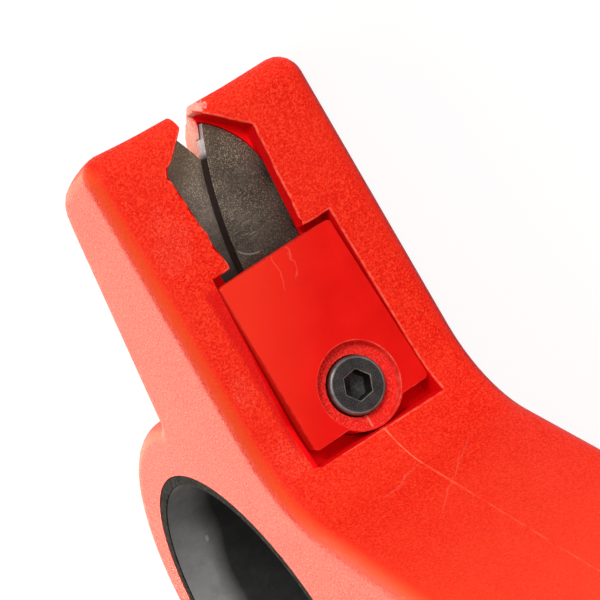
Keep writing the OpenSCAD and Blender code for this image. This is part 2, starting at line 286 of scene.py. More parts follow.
# Grain of the red moulding, worn down along the handle
GRAIN = 0.20 * MM
GRAIN_FINE = 0.11 * MM
GRAIN_DEPTH = 0.13 * MM
GRAIN_WORN = (30 * MM, 50 * MM)
CLOUDING = 5 * MM
# Painted shade: where and how strongly ambient occlusion darkens the red in crevices
CREVICE_SHADE_START = 0.10
NO_CREVICE_SHADE = -0.4
CREVICE_SHADE_SPAN = 0.45
CREVICE_SHADE_REACH = 2 * MM

# Marks on the body. Scuffs: Y, Z off the middle, and size, in millimetres
SCUFFS = ((38.5, 8.2, 3.6), (16.5, 8.4, 3.0), (24, 9.3, 2.0))
# Painted light: where along the handle its red is painted lighter
HANDLE_LIGHT_SPAN = (28 * MM, 62 * MM)
# Painted shade: depth, height and reach of the dark red band beside the recess's left rim
SHADE_BESIDE_X = (FRONT_X - 1 * MM, FRONT_X - 0.5 * MM)
SHADE_BESIDE_Y = (16 * MM, 18 * MM), (33.5 * MM, 32.5 * MM)
SHADE_BESIDE_Z = (MID_Z + 6 * MM, MID_Z + 6.2 * MM), (PLATE_HIGH.z + 1.7 * MM, PLATE_HIGH.z + 1.2 * MM)
FLASH_WORN = (38 * MM, 25 * MM)

# Torn mouth of the slot: centre, radii, raggedness and lumps of each patch
TORN_CORNER = ((22.9 * MM, 47.9 * MM, MID_Z - 0.3 * MM), (1.4 * MM, 0.9 * MM, 1.3 * MM), 0.7, 0.4 * MM)
TORN_WALL = ((20 * MM, 45.8 * MM, MID_Z - 0.05 * MM), (6 * MM, 3.6 * MM, 0.5 * MM), 0.25, 0.5 * MM)

# Scratches across the bend, in millimetres: X at the first Z, slope, and the Z where each starts and ends
BEND_SCRATCHES = ((28.5, 0.24, 11.7, 17.0), (28.9, 0.24, 12.6, 16.6), (28.6, 0.74, 6.3, 15.2))
BEND_ABOVE = (4 * MM, 5 * MM)
BEND_WIDTH = (0.13 * MM, 0.03 * MM)

# Marks on the plate and its dish. Flow lines: Z off the middle and Y of the lower end, in millimetres
FLOW_LINES = ((1.0, 29.9), (-0.6, 30.4))
FLOW_TOP = (33.4 * MM, 32.9 * MM)
FLOW_WIDTH = (0.09 * MM, 0.03 * MM)
FLOW_SLOPE = 0.12
# Painted light: the slant and span over which the plate is painted paler towards its upper left
PLATE_LIT_SLOPE = 0.6
PLATE_LIT_SPAN = (MID_Z + 14.5 * MM, MID_Z + 23 * MM)
WELD_WIDTH = (0.12 * MM, 0.04 * MM)
WELD_BELOW = (SCREW_Y - 2 * MM, SCREW_Y - 2.4 * MM)

# Marks on the liner, and the span near the mouths of its bore that is painted lighter as painted light
LIT_BAND = (6.2 * MM, 8.6 * MM)
FLECK = ((-14.4 * MM, 10 * MM, 19.5 * MM), (0.5 * MM, 0.5 * MM, 0.22 * MM), 0.2)

# Marks on the blades, by their height, and scratches on the front blade just above the plate
NEAR_TIP = (BLADE_TOP - 6 * MM, BLADE_TOP - 1 * MM)
HIGH_UP = (BLADE_TOP - 14 * MM, BLADE_TOP - 4 * MM)
# Painted shade: where the blades darken towards their foot
SHADED_FOOT = (BLADE_TOP - 7 * MM, BLADE_TOP - 13 * MM)
# Painted light: where the blades' ground sides turn bright near the tip
LIT_EDGE_SPAN = (BLADE_TOP - 3.1 * MM, BLADE_TOP - 2.5 * MM)
ARC_CENTRE = (BLADE_FACE, 36.08 * MM, MID_Z + 0.3 * MM)
ARC_R = 2.33 * MM
ARC_WIDTH = (0.08 * MM, 0.03 * MM)
ARC_PATCH = ((BLADE_FACE, 34.1 * MM, MID_Z + 1.4 * MM), (MM, MM, 1.4 * MM), 0.3)
HAIR_PATCH = ((BLADE_FACE, 36.6 * MM, MID_Z + 0.3 * MM), (MM, 1.9 * MM, 1.5 * MM), 0.5)


def show(name, data):
    """A new object in the scene."""
    obj = bpy.data.objects.new(name, data)
    bpy.context.scene.collection.objects.link(obj)
    return obj


def camera():
    """The photograph's camera. In its frame, x is right, y down and z forward."""
    level = Matrix(((0, 0, -1), (0, -1, 0), (-1, 0, 0)))
    turn = Matrix.Rotation(CAM_ROLL, 3, "Z") @ Matrix.Rotation(CAM_PITCH, 3, "X")
    view = turn @ Matrix.Rotation(CAM_YAW, 3, "Y") @ level
    right, down, forward = view
    data = bpy.data.cameras.new("camera")
    data.lens = CAM_LENS
    data.sensor_width = CAM_SENSOR
    data.clip_start = CAM_NEAR
    data.clip_end = CAM_FAR
    obj = show("camera", data)
    distance = FOCAL_PX / PX_PER_M
    offset = right * DISH_PX[0] / PX_PER_M + down * DISH_PX[1] / PX_PER_M
    aim = DISH_CENTRE + Vector((0, 0, FIT_SHIFT)) - offset
    place = Matrix((right, -down, -forward)).transposed().to_4x4()
    place.translation = aim - forward * distance
    obj.matrix_world = place
    bpy.context.scene.camera = obj


class Graph:
    """A material's node tree, with short calls for the nodes used here."""

    def __init__(self, name):
        self.material = bpy.data.materials.new(name)
        self.material.use_nodes = True
        self.tree = self.material.node_tree
        self.shader = self.tree.nodes["Principled BSDF"]
        self.coords = self.add("ShaderNodeTexCoord").outputs["Object"]

    def add(self, kind, **values):
        node = self.tree.nodes.new(kind)
        for key, value in values.items():
            setattr(node, key, value)
        return node

    def feed(self, socket, value):
        """Links a socket to another one, or sets it to a number or a colour."""
        if isinstance(value, bpy.types.NodeSocket):
            self.tree.links.new(value, socket)
        elif isinstance(value, tuple) and len(value) < len(socket.default_value):
            socket.default_value = (*value, 1)
        else:
            socket.default_value = value

    def make(self, kind, output, inputs, **values):
        """A node with its inputs fed, and one of its outputs."""
        node = self.add(kind, **values)
        for key, value in inputs.items():
            self.feed(node.inputs[key], value)
        return node.outputs[output]

    def math(self, operation, a, b=0.0):
        return self.make("ShaderNodeMath", 0, {0: a, 1: b}, operation=operation)

    def plus(self, a, b):
        return self.math("ADD", a, b)

    def minus(self, a, b):
        return self.math("SUBTRACT", a, b)

    def times(self, a, b):
        return self.math("MULTIPLY", a, b)

    def most(self, a, b):
        return self.math("MAXIMUM", a, b)

    def gap(self, a, b):
        """How far apart two values are."""
        return self.math("ABSOLUTE", self.minus(a, b))

    def fade(self, value, start, end):
        """0 at start and 1 at end, clamped; start may be the larger."""
        values = {"Value": value, 1: start, 2: end}
        return self.make("ShaderNodeMapRange", "Result", values, clamp=True)

    def between(self, value, rise, fall):
        """1 between two fades and 0 beyond them."""
        return self.times(self.fade(value, *rise), self.fade(value, *fall))

    def axis(self, name):
        """One coordinate of the surface's point, in metres."""
        return self.make("ShaderNodeSeparateXYZ", name, {"Vector": self.coords})

    def lean(self):
        """The surface normal's Z: 1 on the left side, 0 on the front and along the bend."""
        normal = self.add("ShaderNodeNewGeometry").outputs["Normal"]
        return self.make("ShaderNodeSeparateXYZ", "Z", {"Vector": normal})

    def flatness(self):
        """1 on the sides and on faces square to them, and 0.4 on the rounded edges between."""
        up = self.math("ABSOLUTE", self.lean())
        out = self.math("SQRT", self.minus(1.0, self.times(up, up)))
        flat = self.fade(self.most(up, out), 0.86, 0.985)
        return self.plus(self.times(flat, 0.6), 0.4)

    def noise(self, size, detail=2, rough=0.5, stretch=(1, 1, 1), twist=0.0):
        """Noise with lumps of about the given size."""
        point = self.make("ShaderNodeMapping", "Vector", {"Vector": self.coords, "Scale": stretch})
        values = {
            "Vector": point, "Scale": 1 / size, "Detail": detail, "Roughness": rough, "Distortion": twist
        }
        return self.make("ShaderNodeTexNoise", "Fac", values)

    def sway(self, size, amount, detail):
        """Noise around zero, with lumps of about the given size."""
        return self.times(self.minus(self.noise(size, detail), 0.5), amount)

    def patch(self, centre, radii, ragged, lump=0.8 * MM):
        """1 within an ellipsoid and 0 outside it, with a ragged edge."""
        inside = {"Vector": self.coords, "Location": centre, "Scale": radii}
        point = self.make("ShaderNodeMapping", "Vector", inside, vector_type="TEXTURE")
        far = self.make("ShaderNodeVectorMath", "Value", {0: point}, operation="LENGTH")
        return self.fade(self.plus(far, self.sway(lump, 2 * ragged, detail=3)), 1.0, 0.7)

    def ramp(self, source, *stops):
        """Maps a value through (position, colour or grey) stops."""
        node = self.add("ShaderNodeValToRGB")
        elements = node.color_ramp.elements
        while len(elements) < len(stops):
            elements.new(0.5)
        for element, (position, colour) in zip(elements, stops):
            element.position = position
            grey = isinstance(colour, (int, float))
            element.color = (colour, colour, colour, 1) if grey else (*colour, 1)
        self.feed(node.inputs["Fac"], source)
        return node.outputs["Color"]

    def mix(self, fac, a, b):
        """Mixes two colours, each a socket or a fixed colour."""
        return self.make("ShaderNodeMix", 2, {0: fac, 6: a, 7: b}, data_type="RGBA")

    def tint(self, colour, other, where, strength):
        """A colour with another one laid over part of it."""
        return self.mix(self.times(where, strength), colour, other)

    def bump(self, height, distance):
        return self.make("ShaderNodeBump", "Normal", {"Height": height, "Distance": distance})

    def set(self, **inputs):
        """Sets or links the shader's sockets; underscores stand for spaces."""
        for key, value in inputs.items():
            self.feed(self.shader.inputs[key.replace("_", " ")], value)
        return self.material


def grained_red(name, reds=BODY_REDS, depth=GRAIN_DEPTH, shade_start=CREVICE_SHADE_START):
    """Spark-eroded red moulding, with painted shade in a deeper red where ambient occlusion finds crevices:
    its graph and its colour.
    """
    low, mid, high = reds
    g = Graph(name)
    grain = g.noise(GRAIN, rough=0.55, twist=0.6)
    fine = g.noise(GRAIN_FINE, detail=1)
    grip = g.minus(g.flatness(), g.times(g.fade(g.axis("X"), *GRAIN_WORN), 0.5))
    height = g.times(g.plus(grain, g.times(fine, 0.4)), grip)
    colour = g.mix(grip, mid, g.ramp(grain, (0.34, low), (0.50, mid), (0.66, high)))
    clouds = g.fade(g.noise(CLOUDING, detail=3), 0.4, 0.7)
    colour = g.tint(colour, high, clouds, strength=0.2)
    # Painted shade: ambient occlusion darkens the red in crevices and recesses
    occlusion = g.make("ShaderNodeAmbientOcclusion", "AO", {"Distance": CREVICE_SHADE_REACH}, samples=8)
    colour = g.mix(g.fade(occlusion, shade_start, shade_start + CREVICE_SHADE_SPAN), PAINTED_CREVICE_SHADE, colour)
    rough = g.ramp(grain, (0.35, 0.60), (0.65, 0.46))
    g.set(Roughness=rough, Specular_IOR_Level=0.13, Normal=g.bump(height, depth))
    return g, colour


def torn_mouth(g, colour):
    """A red torn pale at the right prong's corner and along its wall of the slot."""
    where = g.most(g.patch(*TORN_CORNER), g.patch(*TORN_WALL))
    pale = g.ramp(g.noise(0.22 * MM, detail=3, rough=0.7), (0.35, SCUFF), (0.6, TORN))
    return g.tint(colour, pale, where, strength=0.85)


def bend_scratches(g):
    """Where faint scratches cross the top of the bend."""
    z = g.axis("Z")
    x = g.plus(g.axis("X"), g.sway(2.5 * MM, 1.5 * MM, detail=3))
    marks = 0.0
    for start, slope, low, high in BEND_SCRATCHES:
        path = g.plus(g.times(g.minus(z, low * MM), slope), start * MM)
        span = g.between(z, (low * MM, (low + 1) * MM), (high * MM, (high - 1) * MM))
        marks = g.most(marks, g.times(g.fade(g.gap(x, path), *BEND_WIDTH), span))
    return g.times(marks, g.fade(g.axis("Y"), *BEND_ABOVE))


def body_red():
    """The body's moulding, scuffed on the front and torn at the mouth of the slot."""
    g, colour = grained_red("body_red")
    specks = g.fade(g.noise(0.15 * MM, rough=0.7), 0.50, 0.66)
    for y, z, size in SCUFFS:
        centre = (FRONT_X, y * MM, MID_Z + z * MM)
        spot = g.patch(centre, (2 * MM, size * MM, 0.6 * size * MM), ragged=0.9, lump=2 * MM)
        colour = g.tint(colour, SCUFF, g.times(spot, specks), strength=0.24)
    # Painted light: the handle painted lighter and more orange, as where it turns up towards the light
    colour = g.tint(colour, HANDLE_LIGHT_RED, g.fade(g.axis("X"), *HANDLE_LIGHT_SPAN), strength=0.6)
    # Painted light: an orange glow painted on the rounded edge between the front and the left side
    edge_glow = g.between(g.lean(), (0.45, 0.75), (0.98, 0.88))
    colour = g.tint(colour, EDGE_GLOW_RED, edge_glow, strength=0.5)
    colour = g.tint(colour, SCUFF, bend_scratches(g), strength=0.16)
    # Painted shade: a dark red band beside the recess's left rim, where the rounded rim turns from the
    # light
    shade_beside = g.times(g.between(g.axis("Z"), *SHADE_BESIDE_Z), g.between(g.axis("Y"), *SHADE_BESIDE_Y))
    shade_beside = g.times(shade_beside, g.fade(g.axis("X"), *SHADE_BESIDE_X))
    colour = g.tint(colour, BESIDE_SHADE_RED, shade_beside, strength=0.85)
    return g.set(Base_Color=torn_mouth(g, colour))


def body_worn():
    """The body's rubbed rims."""
    g, colour = grained_red("body_worn", depth=0.05 * MM)
    rub = g.fade(g.noise(0.7 * MM, detail=3, rough=0.65), 0.36, 0.60)
    return g.set(Base_Color=g.tint(colour, RUBBED_RED, rub, strength=0.55))


def inner_red():
    """The smooth walls of the window, the slot and the recess, which have no gloss."""
    g = Graph("inner_red")
    low, high = INNER_REDS
    tone = g.noise(1.5 * MM, detail=3)
    colour = g.ramp(tone, (0.3, low), (0.7, high))
    return g.set(
        Base_Color=torn_mouth(g, colour), Roughness=0.6, Specular_IOR_Level=0.02,
        Normal=g.bump(tone, 0.02 * MM)
    )


def seam_flash():
    """The thin pale flash along the halves' seam, fainter along the handle."""
    g, colour = grained_red("seam_flash", depth=0.03 * MM, shade_start=NO_CREVICE_SHADE)
    left = g.most(g.fade(g.axis("X"), *FLASH_WORN), 0.35)
    rub = g.times(left, g.fade(g.noise(1.2 * MM, detail=3), 0.25, 0.55))
    return g.set(Base_Color=g.tint(colour, FLASH_RED, rub, strength=0.6))


def dish_red():
    """The grained floor of the screw's dish, with the moulding's weld line across it."""
    g, colour = grained_red("dish_red", DISH_REDS, shade_start=NO_CREVICE_SHADE)
    off = g.gap(g.axis("Z"), MID_Z)
    weld = g.times(g.fade(off, *WELD_WIDTH), g.fade(g.axis("Y"), *WELD_BELOW))
    return g.set(Base_Color=g.tint(colour, SCUFF, weld, strength=0.7))


def plate_red():
    """Smooth red moulding, painted paler to the upper left as painted light falling from there, with two
    fine flow lines near its top.
    """
    g = Graph("plate_red")
    low, high = PLATE_REDS
    y, z = g.axis("Y"), g.axis("Z")
    tone = g.noise(4 * MM, detail=3)
    colour = g.ramp(tone, (0.3, low), (0.7, high))
    # Painted light: the plate painted paler towards its upper left, where light falls
    slant = g.plus(z, g.times(y, PLATE_LIT_SLOPE))
    colour = g.tint(colour, PLATE_LIT_RED, g.fade(slant, *PLATE_LIT_SPAN), strength=0.9)
    sway = g.sway(1.6 * MM, 1.6 * MM, detail=2)
    for middle, foot in FLOW_LINES:
        path = g.plus(g.plus(z, g.times(g.minus(y, foot * MM), FLOW_SLOPE)), sway)
        span = g.between(y, ((foot - 0.4) * MM, foot * MM), FLOW_TOP)
        line = g.times(g.fade(g.gap(path, MID_Z + middle * MM), *FLOW_WIDTH), span)
        colour = g.tint(colour, PLATE_LINE, line, strength=0.3)
    rough = g.ramp(tone, (0.3, 0.36), (0.7, 0.46))
    skin = g.bump(g.noise(0.25 * MM), 0.008 * MM)
    return g.set(Base_Color=colour, Roughness=rough, Specular_IOR_Level=0.09, Normal=skin)


def plate_worn():
    """The plate's rubbed edges, more so on the right."""
    g = Graph("plate_worn")
    rub = g.fade(g.noise(0.6 * MM, detail=3, rough=0.65), 0.42, 0.68)
    right = g.fade(g.axis("Z"), MID_Z, PLATE_LOW.z + 1 * MM)
    rub = g.times(rub, g.plus(g.times(right, 0.45), 0.35))
    return g.set(Base_Color=g.mix(rub, PLATE_EDGE, PLATE_RUBBED), Roughness=0.42, Specular_IOR_Level=0.22)


def liner_black():
    """Black moulding, painted lighter grey near the mouths of the bore where light gets in, with dust and
    one fleck.
    """
    g = Graph("liner_black")
    low, high = LINER_GREYS
    cloud = g.noise(2.2 * MM, detail=4, rough=0.65)
    colour = g.ramp(cloud, (0.4, low), (0.75, high))
    # Painted light: the bore painted lighter grey near its mouths, where light gets in
    off = g.plus(g.gap(g.axis("Z"), MID_Z), g.sway(6 * MM, 2 * MM, detail=1))
    colour = g.mix(g.times(g.fade(off, *LIT_BAND), g.fade(cloud, -0.6, 0.6)), colour, LINER_LIT_GREY)
    dust = g.fade(g.noise(0.12 * MM, rough=0.8), 0.62, 0.74)
    colour = g.tint(colour, LINER_DUST, dust, strength=0.16)
    colour = g.tint(colour, LINER_FLECK, g.patch(*FLECK), strength=0.7)
    skin = g.bump(g.noise(0.35 * MM, detail=3), 0.03 * MM)
    return g.set(Base_Color=colour, Roughness=0.7, Specular_IOR_Level=0.1, Normal=skin)


def liner_rim():
    """The liner's scuffed rim."""
    g = Graph("liner_rim")
    low, high = LINER_RIM
    rub = g.noise(0.5 * MM, detail=4, rough=0.7)
    colour = g.ramp(rub, (0.36, low), (0.70, high))
    return g.set(Base_Color=colour, Roughness=0.9, Specular_IOR_Level=0.02, Normal=g.bump(rub, 0.06 * MM))


def blade_scratches(g):
    """Where an arc and a few hairlines are rubbed into the front blade."""
    far = g.make("ShaderNodeVectorMath", "Value", {0: g.coords, 1: ARC_CENTRE}, operation="DISTANCE")
    arc = g.times(g.fade(g.gap(far, ARC_R), *ARC_WIDTH), g.patch(*ARC_PATCH))
    hair = g.fade(g.noise(0.12 * MM, detail=1, stretch=(1, 1, 0.12)), 0.58, 0.68)
    hair = g.times(hair, g.patch(*HAIR_PATCH))
    return g.most(arc, g.times(hair, 0.7))


def blade_steel(name, greys, brown, foot_shade, scratched):
    """Dark hardened steel, peppered with light specks, browned towards the tip, and darkened towards the
    foot with painted shade.
    """
    g = Graph(name)
    low, high = greys
    y = g.axis("Y")
    speck = g.noise(0.12 * MM, rough=0.75)
    cloud = g.noise(2.5 * MM, detail=4, rough=0.6)
    colour = g.ramp(cloud, (0.35, low), (0.65, high))
    colour = g.tint(colour, BROWNED, g.fade(y, *NEAR_TIP), strength=brown)
    where = g.times(g.fade(g.noise(3.5 * MM), 0.3, 0.6), g.fade(y, *HIGH_UP))
    spots = g.times(g.fade(speck, 0.50, 0.68), g.plus(where, 0.25))
    colour = g.tint(colour, SPECKS, spots, strength=0.75)
    # Painted shade: the blade darkened towards its foot
    colour = g.tint(colour, FOOT_SHADE, g.fade(y, *SHADED_FOOT), strength=foot_shade)
    if scratched:
        colour = g.tint(colour, SCRATCHED, blade_scratches(g), strength=0.35)
    rough = g.ramp(cloud, (0.3, 0.42), (0.7, 0.55))
    return g.set(Base_Color=colour, Metallic=0.75, Roughness=rough, Normal=g.bump(speck, 0.012 * MM))


def edge_steel():
    """The blades' narrow ground sides: painted near black as painted shade, and clean ground steel near the
    tip, painted bright also as painted light where light reaches it.
    """
    g = Graph("edge_steel")
    lines = g.noise(0.15 * MM, detail=3, stretch=(1, 0.2, 1))
    shaded, clean = (g.ramp(lines, (0.3, low), (0.7, high)) for low, high in (SHADED_EDGE_STEEL, LIT_EDGE_STEEL))
    # Painted shade below and painted light near the tip, where the ground sides turn bright
    lit_part = g.fade(g.axis("Y"), *LIT_EDGE_SPAN)
    return g.set(Base_Color=g.mix(lit_part, shaded, clean), Metallic=0.3, Roughness=0.45)


def turned_metal(name, colours, size, stretch, rough, depth):
    """Bright metal with fine lines from its tool."""
    g = Graph(name)
    low, high = colours
    lines = g.noise(size, detail=3, stretch=stretch)
    base = g.ramp(lines, (0.3, low), (0.7, high))
    return g.set(Base_Color=base, Metallic=1.0, Roughness=rough, Normal=g.bump(lines, depth))


def black_oxide(name, greys):
    """Blackened steel, rubbed a little brighter in places."""
    g = Graph(name)
    low, high = greys
    grain = g.noise(0.12 * MM, detail=3, rough=0.7)
    base = g.ramp(g.noise(1.1 * MM, detail=3), (0.35, low), (0.7, high))
    colour = g.tint(base, OXIDE_SPECKS, g.fade(grain, 0.54, 0.70), strength=0.5)
    return g.set(Base_Color=colour, Metallic=0.6, Roughness=0.40, Normal=g.bump(grain, 0.02 * MM))


def floor_white():
    """White to the camera and in reflections, with the object's shadow left on it."""
    g = Graph("floor_white")
    path = g.add("ShaderNodeLightPath").outputs
    seen = g.most(path["Is Camera Ray"], path["Is Glossy Ray"])
    seen = g.most(seen, path["Is Transmission Ray"])
    g.set(Base_Color=FLOOR_GREY, Roughness=0.9, Specular_IOR_Level=0.0)
    glow = g.make("ShaderNodeEmission", 0, {"Strength": FLOOR_GLOW})
    both = {0: g.times(seen, FLOOR_SEEN), 1: g.shader.outputs[0], 2: glow}
    g.feed(g.tree.nodes["Material Output"].inputs["Surface"], g.make("ShaderNodeMixShader", 0, both))
    return g.material


def floor():
    """A wide plain floor just under the body."""
    h = FLOOR_HALF
    mesh = bpy.data.meshes.new("floor")
    mesh.from_pydata([(-h, -h, 0), (h, -h, 0), (h, h, 0), (-h, h, 0)], [], [(0, 1, 2, 3)])
    mesh.materials.append(floor_white())
    obj = show("floor", mesh)
    obj.location.z = -FLOOR_DROP


def sky():
    """A white room: full white to the camera and in reflections, a weaker fill as light."""
    world = bpy.data.worlds.new("studio")
    world.use_nodes = True
    bpy.context.scene.world = world
    nodes, links = world.node_tree.nodes, world.node_tree.links
    path = nodes.new("ShaderNodeLightPath").outputs
    seen = path["Is Camera Ray"]
    for ray in ("Is Glossy Ray", "Is Transmission Ray"):
        either = nodes.new("ShaderNodeMath")
        either.operation = "MAXIMUM"
        links.new(seen, either.inputs[0])
        links.new(path[ray], either.inputs[1])
        seen = either.outputs[0]
    level = nodes.new("ShaderNodeMapRange")
    level.inputs["To Min"].default_value = FILL
    links.new(seen, level.inputs["Value"])
    links.new(level.outputs["Result"], nodes["Background"].inputs["Strength"])
    nodes["Background"].inputs["Color"].default_value = (*WHITE, 1)


def lamp(name, place, side, power, colour):
    """A soft square lamp turned to the head."""
    data = bpy.data.lights.new(name, "AREA")
    data.color = colour
    data.size = side
    data.energy = power
    obj = show(name, data)
    obj.location = place
    obj.rotation_mode = "QUATERNION"
    obj.rotation_quaternion = (DISH_CENTRE - obj.location).to_track_quat("-Z", "Y")
    obj.visible_camera = False


def any_edge(edge):
    return True


def is_sharp(edge):
    return len(edge.link_faces) == 2 and edge.calc_face_angle() > SHARP


def on_seam(edge):
    return all(abs(v.co.z - MID_Z) < ON for v in edge.verts)


def on_handle_seam(edge):
    return on_seam(edge) and max(v.co.x for v in edge.verts) > SEAM_FAINT_X


def on_front(edge):
    return all(abs(v.co.x - FRONT_X) < ON for v in edge.verts)


def on_window(edge):
    """On the front, above the plate."""
    return on_front(edge) and min(v.co.y for v in edge.verts) > PLATE_HIGH.y


def on_rim(edge):
    """On the rim of the window or the recess, where a front face meets a wall."""
    wall, face = sorted(abs(f.normal.x) for f in edge.link_faces)
    reach = max(abs(v.co.z - MID_Z) for v in edge.verts)
    ahead = min(v.co.x for v in edge.verts) > FRONT_X - RIM_DEPTH
    return edge.is_convex and wall < RIM_WALL and face > RIM_FACE and reach < RIM_REACH and ahead


def beside_plate(edge):
    """On the recess's long left rim, which is the most rubbed."""
    middle = (edge.verts[0].co + edge.verts[1].co) / 2
    return on_rim(edge) and middle.z > PLATE_HIGH.z - SIDE_NEAR and middle.y < PLATE_HIGH.y


def on_other_rim(edge):
    return on_rim(edge) and not beside_plate(edge) and not on_seam(edge)


def on_prong(edge):
    """Along the top of the slot, at either prong's inner corner."""
    above = min(v.co.y for v in edge.verts) > BLADE_TOP + PRONG_ABOVE
    ahead = min(v.co.x for v in edge.verts) > PRONG_BACK
    from_middle = [v.co.z - MID_Z for v in edge.verts]
    off = max(min(abs(z + SLOT_EASE), abs(z - SLOT_W)) for z in from_middle)
    return edge.is_convex and above and ahead and off < SLOT_NEAR


def within_head(face):
    """A wall or floor of the window, the slot, the recess or the chip opening."""
    centre = face.calc_center_median()
    from_middle = centre.z - MID_Z
    high_enough = INNER_FOOT < centre.y < CHIP_LIP - ON
    if abs(from_middle) > INNER_REACH or not high_enough or centre.x < INNER_BACK:
        return False
    top = face.normal.y > TOP_FACE and centre.y > BLADE_TOP - TOP_BELOW
    torn = abs(from_middle + SLOT_EASE) < TORN_REACH and centre.y > BLADE_TOP - TORN_BELOW
    wall = abs(face.normal.x) < INNER_WALL
    bottom = face.normal.x > FACING and centre.x < FRONT_X - INNER_DEPTH
    return (wall or bottom) and not top and not torn


def round_edges(bm, pick, radius, material, segments=2, clamp=False):
    """Rounds the sharp edges that a test picks."""
    edges = [e for e in bm.edges if is_sharp(e) and pick(e)]
    bmesh.ops.bevel(
        bm, geom=edges, offset=radius, offset_type="OFFSET", segments=segments, profile=0.5,
        affect="EDGES", clamp_overlap=clamp, material=material
    )


def fray(bm, pick, amount):
    """Makes the straight sharp edges that a test picks wander across the front face."""
    for edge in [e for e in bm.edges if is_sharp(e) and pick(e)]:
        cuts = int(edge.calc_length() / FRAY_STEP) - 1
        if cuts < 1:
            continue
        run = (edge.verts[1].co - edge.verts[0].co).normalized()
        across = run.cross(Vector((1, 0, 0)))
        made = bmesh.ops.subdivide_edges(bm, edges=[edge], cuts=cuts)["geom_inner"]
        for vert in made:
            if isinstance(vert, bmesh.types.BMVert):
                vert.co += across * amount * noise.noise(vert.co / FRAY_LUMP)


def on_crown(co):
    """On the skin of the head's top, ahead of its back corner."""
    crown = CROWN_Y - CROWN_SLOPE * (DOME_FRONT - co.x)
    return co.y > crown - DOME_SKIN and co.x > DOME_BACK


def dome_top(bm):
    """Domes the top of the head a little, between its front and back corners."""
    for i in range(1, DOME_CUTS):
        x = DOME_FLAT + (DOME_FRONT - DOME_FLAT) * i / DOME_CUTS
        faces = [f for f in bm.faces if f.normal.y > CROWN_FACE and on_crown(f.calc_center_median())]
        edges = {e for f in faces for e in f.edges}
        verts = {v for f in faces for v in f.verts}
        bmesh.ops.bisect_plane(bm, geom=[*faces, *edges, *verts], plane_co=(x, 0, 0), plane_no=(1, 0, 0))
    for vert in bm.verts:
        if on_crown(vert.co) and vert.co.x < DOME_FRONT:
            t = (vert.co.x - DOME_BACK) / (DOME_FRONT - DOME_BACK)
            vert.co.y += DOME_RISE * 4 * t * (1 - t)


def ease_chip_lip(bm):
    """Lowers the lip of the chip opening."""
    for vert in bm.verts:
        if abs(abs(vert.co.z - CHIP_MID) - CHIP_HALF) < ON:
            vert.co.y = min(vert.co.y, CHIP_LIP)


def shape_shell(bm):
    """Domed top, frayed window rims, rubbed rims and a fine seam."""
    left = max(v.co.z for v in bm.verts) > MID_Z + LEFT_PAST
    dome_top(bm)
    ease_chip_lip(bm)
    head = [v for v in bm.verts if v.co.x > FRONT_X - MERGE_DEPTH and v.co.y > PLATE_LOW.y - MERGE_BELOW]
    bmesh.ops.remove_doubles(bm, verts=head, dist=MERGE)
    fray(bm, on_window, FRAY_LEFT if left else FRAY_RIGHT)
    round_edges(bm, on_prong, PRONG_R, BASE, segments=3, clamp=True)
    for face in bm.faces:
        if within_head(face):
            face.material_index = INNER
    round_edges(bm, beside_plate, SOFT_R, INNER, segments=4)
    round_edges(bm, on_other_rim, RIM_R, RUBBED, segments=3)
    round_edges(bm, on_handle_seam, SEAM_FAINT_R, SEAM)
    round_edges(bm, on_seam, SEAM_R, SEAM)


def from_screw(co):
    """How far a point is from the clamp screw's axis."""
    return math.hypot(co.y - SCREW_Y, co.z - SCREW_Z)


def on_plate_corner(edge):
    """An upright edge at the plate's outline, ahead of the blades."""
    ends = edge.verts[0].co, edge.verts[1].co
    side = min(abs(v.z - MID_Z) for v in ends)
    ahead = min(v.x for v in ends) > BLADE_FACE - ON
    return abs(ends[0].x - ends[1].x) > CORNER_LONG and side > CORNER_SIDE and ahead


def on_plate_straight(edge):
    return on_front(edge) and edge.calc_length() > STRAIGHT_LONG


def shape_plate(bm):
    """Rubbed edges on the front, the dish's floor marked as grained, and its wall given the paler rubbed
    red as painted light.
    """
    for face in bm.faces:
        centre = face.calc_center_median()
        if from_screw(centre) < DISH_R + ON and ON < FRONT_X - centre.x < DISH_DEPTH:
            # Painted light: the dish's wall takes the paler rubbed red, which stands in for the light on it
            face.material_index = DISH if face.normal.x > FACING else RUBBED
    round_edges(bm, on_plate_corner, CORNER_R, BASE, segments=4)
    round_edges(bm, on_plate_straight, STRAIGHT_R, RUBBED, segments=3)
    round_edges(bm, on_front, CURVED_R, RUBBED)


def islands(bm):
    """The vertices of each solid in a mesh."""
    left = set(bm.verts)
    while left:
        group, stack = [], [left.pop()]
        while stack:
            vert = stack.pop()
            group.append(vert)
            near = {e.other_vert(vert) for e in vert.link_edges} & left
            left -= near
            stack.extend(near)
        yield group


def cut_thread(bm, along):
    """Cuts a thread into each shank that lies along an axis, by the axis's number."""
    across = Vector(0 if i == along else 1 for i in range(3))
    middles = []
    for group in islands(bm):
        low = Vector(min(v.co[i] for v in group) for i in range(3))
        high = Vector(max(v.co[i] for v in group) for i in range(3))
        middles.append((low + high) / 2 * across)
    shank = [e for e in bm.edges if abs(e.verts[0].co[along] - e.verts[1].co[along]) > SHANK_LONG]
    cuts = int(shank[0].calc_length() / PITCH * TURN_STEPS)
    for vert in bmesh.ops.subdivide_edges(bm, edges=shank, cuts=cuts)["geom_inner"]:
        if isinstance(vert, bmesh.types.BMVert):
            out = min((vert.co * across - middle for middle in middles), key=lambda d: d.length)
            angle = math.atan2(out[(along + 2) % 3], out[(along + 1) % 3])
            turn = vert.co[along] / PITCH - angle / math.tau
            vert.co -= out.normalized() * THREAD_DEPTH * PITCH * abs(2 * (turn % 1) - 1)


